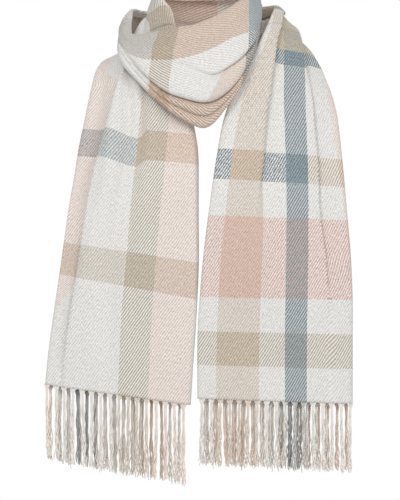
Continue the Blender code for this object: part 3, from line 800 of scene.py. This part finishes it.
# Towards the crest the panel's folded edge lies further in than on the plain form.
LEFT_DRAPED = list(LEFT_PATH)
for row, inward in ((6, 0.02), (7, 0.05), (8, 0.10), (9, 0.11), (10, 0.08)):
    LEFT_DRAPED[row] = LEFT_PATH[row]._replace(at1=LEFT_PATH[row].at1 + inward)
left = stretch(LEFT_DRAPED, (0, LEFT_SEAM), left_section, True, LEFT_TROUGHS, 21, calm=(0, 30))
at_edge = TAUPE_ENDS - left.across[:, LEFT_NEAR_EDGE] + by_row(left, LEFT_TAUPE_EDGE)
past_fold = at_edge - left.arc[:, STRIP_START] + left.arc[:, LEFT_NEAR_EDGE]
past_fold = past_fold + by_row(left, LEFT_SWALLOWED)
at_panel = at_edge - left.arc[:, PANEL_START] + left.arc[:, LEFT_NEAR_EDGE]
at_turn = past_fold + left.arc[:, STRIP_START]
left_woven = -pinned(
    left.arc,
    (BEHIND_STRIP, left.arc[:, BEHIND_STRIP] - at_turn - TUCKED_IN),
    (STRIP_TURN, left.arc[:, STRIP_TURN] - at_turn),
    (STRIP_START, -past_fold),
    (PANEL_START, -at_panel),
    (LEFT_NEAR_EDGE, -at_edge),
    (INNER_TURN, left.arc[:, INNER_TURN] - left.arc[:, LEFT_NEAR_EDGE] - at_edge),
    (BEHIND_PANEL, left.arc[:, BEHIND_PANEL] - left.arc[:, LEFT_NEAR_EDGE] - at_edge + GATHERED),
)
slant, dip = (by_run(left.run, table)[:, None] for table in (LEFT_SLANT, LEFT_DIP))
share_across = left.across / left.width[:, None]
left_along = left.run[:, None] + slant * (share_across - 0.5)
left_along = left_along + dip * by_run(share_across, DIP_ACROSS)
left_plaid = plaid("left_tail_plaid", LEFT_WEFT, 1.0)
left_tail = lay_cloth("left_tail_cloth", left.grid, left_woven, left_along, left_plaid)
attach(left_tail, "root")
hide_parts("left_tail")


# -------------------- the inner neck wrap
# The left end going on past its crest and round the back of the loop, inside the other wrap.
# The same wool cloth, standing up as a soft collar, its upper edge turned in.
INNER_TROUGHS = (
    (0.20, 0.26, 30, 330, 9, 1.6),
    (0.44, 0.40, 20, 260, 9, -1.8),
    (0.78, 0.70, 60, 300, 9, 1.5),
)
INNER_WEFT = (
    (0, "white", "taupe"), (26, "white"), (92, "pink"), (190, "white"), (244, "taupe"),
    (296, "white"),
)
INNER_NEAR_EDGE = 22 * PER_SPAN  # sample just before the turned upper edge, on the outside
INNER_END_WOVEN = 270.0  # where the weave stands at the cowl's upper right corner
inner = stretch(
    LEFT_PATH, (LEFT_SEAM, len(LEFT_PATH) - 1), left_section, False, INNER_TROUGHS, 34,
    beyond=(None, middle_of(COWL_PATH[-2])), calm=(30, 30),
)
inner_start = left_woven[-1, LEFT_NEAR_EDGE]
rolled = inner_start + (INNER_END_WOVEN - inner_start) * ease(inner.run / inner.run[-1])
inner_woven = rolled[:, None] - inner.arc + inner.arc[:, INNER_NEAR_EDGE, None]
inner_plaid = plaid("inner_wrap_plaid", INNER_WEFT, 1.0)
inner_wrap = lay_cloth(
    "inner_wrap_cloth", inner.grid, inner_woven, inner.run[:, None], inner_plaid
)
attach(inner_wrap, "root")
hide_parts("inner_neck_wrap")
inner_end = np.concatenate([inner.grid[-1], inner_woven[-1][:, None]], 1)[::-1]
inner_end_share = 1 - inner.arc[-1, ::-1] / inner.arc[-1, -1]


# -------------------- the cowl
# The middle of the same wool cloth, hanging between the two wraps across the front of the loop,
# over both ends. Its upper edge is turned in, and it sags in deep rolls towards its lower edge.
COWL_TURN = 6.5  # how far behind the face its turned edges lie
CREASE_SHUTS = 9  # the depth at which a crease is a full one
COWL_TROUGHS = (
    (0.16, 0.20, 60, 330, 9, 1.5),
    (0.32, 0.30, 30, 260, 12, -1.6),
    (0.50, 0.60, 20, 190, 8, 1.6),
    (0.60, 0.66, 60, 240, 7, -1.5),
)
COWL_WOVEN_TOP = (316, 308, 299, 293, 293, 295, 295, 291, 286, 280, 275, 270)
# How much more cloth than its own fold each of the two upper creases swallows, row by row.
COWL_SWALLOWED = (
    (0, 0, 0, 0, 0, 22, 62, 78, 90, 90, 60, 40),
    (0, 0, 8, 118, 100, 50, 2, 10, 20, 10, 0, 0),
)
# Some stripes take deeper yarns here: partly their own colour and partly painted shade between the
# rolls.
COWL_YARN_AND_SHADE = {
    230: "shaded taupe", 294: "shaded taupe", 448: "shaded rose", 508: "tan", 548: "tan", 580: "tan",
}
COWL_WARP = [(start, COWL_YARN_AND_SHADE.get(start, label)) for start, label in WARP]
COWL_WEFT = (
    (0, "mist"), (50, "white", "mist"), (124, "shaded taupe"), (160, "white", "pale pink"),
    (284, "grey blue", "steel"),
)
JOIN_LENGTH = 55.0  # how far from its ends the cowl is eased on to the wraps


def crease(share, width, deep, hang):
    """Control points of a crease: the roll above bulges and hangs over it, the next one starts
    under it. A shallow crease opens into a soft trough."""
    place = share * width
    soft = np.minimum(10, 0.1 * width)
    shut = np.clip(deep / CREASE_SHUTS, 0, 1)
    folded = (
        (place - 7, 0.10 * deep),
        (place + hang - 1, 0.05 * deep),
        (place + hang + 1, -0.45 * deep),
        (place - 0.2 * hang, -deep),
        (place + 0.4 * hang + 4, -0.80 * deep),
        (place + hang + 8, -0.15 * deep),
    )
    return part_open(folded, (-1, -0.6, -0.2, 0.2, 0.6, 1), shut, place, soft)


def cowl_section(row, layered):
    """The cowl's cross-section, from its turned upper edge down over its rolls to the turned
    lower edge."""
    width = np.maximum(width_of(row), NARROWEST)
    points = [(row.tuck, -COWL_TURN)]
    points += u_turn(0, 0, -COWL_TURN, -1)[::-1]
    points += [(TURN_RUN + 0.4 * (row.at1 * width - 19), 0)]
    upper = crease(row.at1, width, row.deep1, row.hang1)
    lower = crease(row.at2, width, row.deep2, row.hang2)
    points += upper + [((upper[-1][0] + lower[0][0]) / 2, 0)] + lower
    points += [
        (row.at3 * width + row.hang3 - 1, -0.1 * row.deep3),
        (row.at3 * width + row.hang3, -0.6 * row.deep3),
        (row.at3 * width + 2, -row.deep3),
    ]
    points += u_turn(width, 0, -2 * COWL_TURN, 1)[1:]
    points += [(width - row.tuck, -2 * COWL_TURN)]
    return laid_out(row, width, points)


def ease_on_to(sheet, run, share, end, end_share):
    """Moves a sheet's first rows, weave and all, to start on another piece's end row; the shift
    fades to none over the join's length."""
    target = np.stack([np.interp(share, end_share, end[:, k]) for k in range(end.shape[1])], 1)
    fade = 1 - ease(run / JOIN_LENGTH)
    return sheet + fade[:, None, None] * (target - sheet[0])


# Samples across: past the turned upper edge, and before and after each of two creases.
NEAR_COWL_EDGE, ABOVE_UPPER, BELOW_UPPER, ABOVE_LOWER, BELOW_LOWER = (
    PER_SPAN * point for point in (7, 10, 12, 17, 19)
)
cowl = stretch(
    COWL_PATH, (0, len(COWL_PATH) - 1), cowl_section, False, COWL_TROUGHS, 55,
    beyond=(middle_of(RIGHT_PATH[-2]), middle_of(LEFT_PATH[-2])), calm=(50, 50),
)
top_woven = by_row(cowl, COWL_WOVEN_TOP)
upper, lower = (by_row(cowl, table) for table in COWL_SWALLOWED)
natural = cowl.arc - cowl.arc[:, NEAR_COWL_EDGE, None] + top_woven[:, None]
cowl_woven = pinned(
    cowl.arc,
    (NEAR_COWL_EDGE, top_woven),
    (ABOVE_UPPER, natural[:, ABOVE_UPPER]),
    *((at, natural[:, at] + upper) for at in (BELOW_UPPER, ABOVE_LOWER)),
    (BELOW_LOWER, natural[:, BELOW_LOWER] + upper + lower),
)
sheet = np.concatenate([cowl.grid, cowl_woven[:, :, None]], 2)
first_share, last_share = (cowl.arc[end] / cowl.arc[end, -1] for end in (0, -1))
sheet = ease_on_to(sheet, cowl.run, first_share, wrap_end, wrap_end_share)
from_last = cowl.run[-1] - cowl.run[::-1]
sheet = ease_on_to(sheet[::-1], from_last, last_share, inner_end, inner_end_share)[::-1]
cowl_plaid = plaid("cowl_plaid", COWL_WEFT, -1.0, warp=COWL_WARP)
cowl_cloth = lay_cloth(
    "cowl_cloth", sheet[:, :, :3], sheet[:, :, 3], cowl.run[:, None], cowl_plaid
)
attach(cowl_cloth, "root")
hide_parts("cowl")


# -------------------- the fringes
# The warp ends left long below each hem, half a dozen yarns of the wool to a tassel, gathered at
# the edge and loosely twisted, so each yarn takes the colour of the stripe above it.
TASSEL_PITCH = 14.0
FIRST_IN, LAST_IN = 4, 3  # how far inside the front layer its first and its last tassel hang
LEAST_GAP = 5
YARNS, LEVELS, RING = 6, 30, 5
YARN_RADIUS = 0.85
ROOT_PITCH = 1.8  # from yarn to yarn at the hem
ROOT_DEPTH = 0.8  # how far the yarns start inside the cloth's thickness, above the hem
GATHER_LENGTH = 6.5
TWIST_LENGTH = 46.0
FLATNESS = 0.9
TIP_LENGTH = 2.5
UNEVEN_LENGTH, UNEVEN_TWIST, UNEVEN_YARN = 2.6, (0.8, 1.25), (0.85, 1.2)
# How far a whole tassel and each of its yarns stray at the tips and halfway down: along the
# hem, then out of it.
STRAY = ((1.4, 1.3), (0.8, 0.6), (1.4, 1.2), (0.8, 0.5))
# How much of each tassel is the cream yarn that is twisted in: more on the front tassels, and
# less on the hidden layers' tassels, partly as painted shade behind the front ones.
CREAM = linear(250, 240, 229)
FRONT_CREAM, BEHIND_CREAM_AND_SHADE = 0.55, 0.28
SPIN, YARN_BUMP, YARN_HEIGHT = (40, 260), 0.6, 0.0006


def yarn_material():
    """Spun wool: the warp's stripes, read from the weave's coordinate at each yarn's root, with
    fibres along the yarn, and painted shade in the grooves of its spin."""
    material, tree, shader = new_material("twisted_wool")
    colour = stripes(tree, mapped(tree, "weave")[1], WARP, CLOTH_WIDTH)[0]
    around, down = mapped(tree, "twist")[1:]
    fibre = grain(tree, around, down, SPIN)
    spin = math(tree, "COSINE", math(tree, "MULTIPLY", around, 2 * HALF_TURN))
    cream = tree.nodes.new("ShaderNodeAttribute")
    cream.attribute_name = "cream"
    colour = blend(tree, "MIX", cream.outputs["Fac"], colour, CREAM)
    shade = vary(tree, 0.97, fibre, 0.36)
    # Painted shade: the yarn is darker in the grooves of its spin.
    shade = math(tree, "MULTIPLY_ADD", math(tree, "ABSOLUTE", spin), 0.14, shade)
    feed(tree, shader, {
        "Base Color": shaded(tree, colour, shade),
        "Roughness": 0.9,
        "Specular IOR Level": 0.15,
        "Sheen Weight": 0.25,
        "Sheen Roughness": 0.5,
        "Normal": bump(tree, fibre, YARN_BUMP, YARN_HEIGHT),
    })
    return material


TWISTED_WOOL = yarn_material()


def hang_fringe(name, hem, hem_woven, front, behind, lengths, seed):
    """Tassels evenly along a hem's front layer, and from each layer behind at the gaps between
    those. Each yarn is a tube about a line: the yarns lie side by side at the hem, close up
    into a twist below it, and open towards the ends; tassel and yarn both stray a little."""
    draw = np.random.default_rng(seed)
    reach = distance_along(hem)
    even = np.arange(reach[front[0]] + FIRST_IN, reach[front[1]] - LAST_IN, TASSEL_PITCH)
    shown = np.sort(np.interp(even, reach, hem[:, 0]))
    gaps = (shown[1:] + shown[:-1])[np.diff(shown) > LEAST_GAP] / 2
    spots = [even]
    for first, last, aside in behind:
        layer = np.argsort(hem[first:last, 0]) + first
        below = gaps + aside
        below = below[(below > hem[layer[0], 0]) & (below < hem[layer[-1], 0])]
        spots.append(np.interp(below, hem[layer, 0], reach[layer]))
    spots = np.concatenate(spots)
    tassels, total = len(spots), len(spots) * YARNS
    # Painted shade in part: the tassels of the hidden layers take less cream, so they are darker.
    cream = np.where(np.arange(tassels) < len(even), FRONT_CREAM, BEHIND_CREAM_AND_SHADE)

    def at_hem(spot):
        return np.stack([np.interp(spot, reach, hem[:, k]) for k in range(3)], 1)

    def per_tassel(values):
        return np.repeat(values, YARNS, -1)[..., None, None]

    middle = np.repeat(spots, YARNS)
    place = np.tile(np.arange(YARNS) - (YARNS - 1) / 2, tassels)
    root = at_hem(middle)
    beside = unit(at_hem(middle + 3) - at_hem(middle - 3))
    outward = unit(np.cross(beside, (0.0, 0.0, 1.0)))
    woven = np.interp(middle + place * ROOT_PITCH, reach, hem_woven)
    share = (root[:, 0] - root[:, 0].min()) / np.ptp(root[:, 0])
    length = lengths[0] + (lengths[1] - lengths[0]) * share
    length = (length + draw.normal(0, UNEVEN_LENGTH, total))[:, None, None]
    place = place[:, None, None]
    down = np.linspace(0, 1, LEVELS)[None, :, None]
    drop = down * length
    rate = per_tassel(draw.uniform(*UNEVEN_TWIST, tassels))
    start = per_tassel(draw.uniform(0, ROUND, tassels)) + place * 2 * np.pi / YARNS
    turn = start + rate * 2 * np.pi * drop / TWIST_LENGTH
    gather = np.exp(-((drop / GATHER_LENGTH) ** 2))
    spread = 1.1 + (0.5 + 1.3 * draw.uniform(0, 1, (total, 1, 1))) * down**1.4
    sway = per_tassel(draw.normal(0, 1, (4, tassels)))
    wander = draw.normal(0, 1, (4, total, 1, 1))
    bends = 2 * (down**1.5, np.sin(np.pi * down))
    stray = [
        (together * tassel + single * yarn) * bend
        for (together, single), tassel, yarn, bend in zip(STRAY, sway, wander, bends)
    ]
    line_x = (1 - gather) * spread * np.cos(turn) + gather * ROOT_PITCH * place
    line_y = (1 - gather) * FLATNESS * spread * np.sin(turn)
    angle = np.arange(RING)[None, None, :] * 2 * np.pi / RING
    tip = np.clip((length - drop) / TIP_LENGTH, 0.2, 1) ** 0.5
    stout = YARN_RADIUS * draw.uniform(*UNEVEN_YARN, (total, 1, 1)) * tip
    x = line_x + stray[0] + stray[1] + stout * np.cos(angle)
    y = line_y + stray[2] + stray[3] + stout * np.sin(angle)
    root, beside, outward = (part[:, None, None, :] for part in (root, beside, outward))
    points = root + x[..., None] * beside + y[..., None] * outward
    points[..., 2] += ROOT_DEPTH - drop

    corner = np.arange(total * LEVELS * RING).reshape(total, LEVELS, RING)
    turned = np.roll(corner, -1, 2)
    sides = [corner[:, :-1], turned[:, :-1], turned[:, 1:], corner[:, 1:]]
    faces = np.stack(sides, -1).reshape(-1, 4).tolist()
    faces += corner[:, 0, ::-1].tolist() + corner[:, -1].tolist()
    mesh = smooth_mesh(
        name, points, faces,
        ("weave", woven[:, None, None], -drop),
        ("twist", (angle / (2 * np.pi) + drop / 7) * METRE, drop * 10),
    )
    creams = mesh.attributes.new("cream", "FLOAT", "POINT").data
    creams.foreach_set("value", np.repeat(cream, YARNS * LEVELS * RING))
    mesh.materials.append(TWISTED_WOOL)
    return add_object(name, mesh)


# The front layer's and each hidden layer's first and last sample across, and for a hidden one
# how far its tassels hang aside of the gaps.
right_fringe = hang_fringe(
    "right_fringe_yarn", tail.grid[0], woven_across[0], front=(18, 110),
    behind=((114, 136, 2), (148, 169, -2)), lengths=(98, 102), seed=61,
)
left_fringe = hang_fringe(
    "left_fringe_yarn", left.grid[0], left_woven[0], front=(26, 110),
    behind=((0, 20, -1), (114, 137, 1)), lengths=(112, 120), seed=62,
)
for piece, node in ((right_fringe, "right_fringe"), (left_fringe, "left_fringe")):
    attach(piece, "root")
    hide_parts(node)


# -------------------- the studio
# A pale, painted floor well below the scarf, soft light from in front, from above and from
# behind, and the camera straight in front, far off, where the photograph was taken from.
CAMERA_DISTANCE, VIEW_HEIGHT, SENSOR = 9.0, 0.75, 36
FLOOR_RADIUS, FLOOR_DEPTH, FLOOR_SIDES = 6, -1.45, 96
spot = np.linspace(0, 2 * np.pi, FLOOR_SIDES + 1)[:-1]
rim = FLOOR_RADIUS * np.cos(spot), FLOOR_RADIUS * np.sin(spot), FLOOR_DEPTH + 0 * spot
floor_mesh = bpy.data.meshes.new("floor")
floor_mesh.from_pydata(np.stack(rim, 1).tolist(), [], [list(range(FLOOR_SIDES))])
floor = add_object("floor", floor_mesh)
pale, tree, shader = new_material("pale_floor")
feed(tree, shader, {"Base Color": (0.86, 0.86, 0.86, 1), "Roughness": 0.8})
floor_mesh.materials.append(pale)

world = bpy.data.worlds.new("studio")
world.use_nodes = True
air = world.node_tree
seen = air.nodes.new("ShaderNodeLightPath").outputs[0]
strength = math(air, "MULTIPLY_ADD", seen, 0.5, 0.5)
feed(air, air.nodes["Background"].inputs, {"Color": (1.0, 1.0, 1.0, 1), "Strength": strength})
bpy.context.scene.world = world
bpy.context.scene.view_settings.view_transform = "Standard"

for name, place, aim_height, size, power in (
    ("key", (-0.8, -2.9, 1.5), -0.25, 1.1, 35),
    ("fill", (1.6, -2.8, 0.8), -0.25, 1.4, 21),
    ("back", (0.6, 2.6, 1.6), -0.2, 1.6, 22),
):
    lamp = bpy.data.lights.new(name, "AREA")
    lamp.shape = "SQUARE"
    lamp.size = size
    lamp.energy = power
    box = add_object(name, lamp)
    box.location = place
    x, y, z = np.array(place) - (0, 0, aim_height)
    tilt, turn = np.arctan2(np.hypot(x, y), z), np.arctan2(x, -y)
    box.rotation_euler = (float(tilt), 0.0, float(turn))

lens = bpy.data.cameras.new("camera")
lens.sensor_width = SENSOR
lens.lens = SENSOR * CAMERA_DISTANCE / VIEW_HEIGHT
lens.clip_end = 40
camera = add_object("camera", lens)
camera.location = (-0.0075, -0.12 - CAMERA_DISTANCE, -0.303)
camera.rotation_euler = (np.pi / 2, 0, 0)
bpy.context.scene.camera = camera
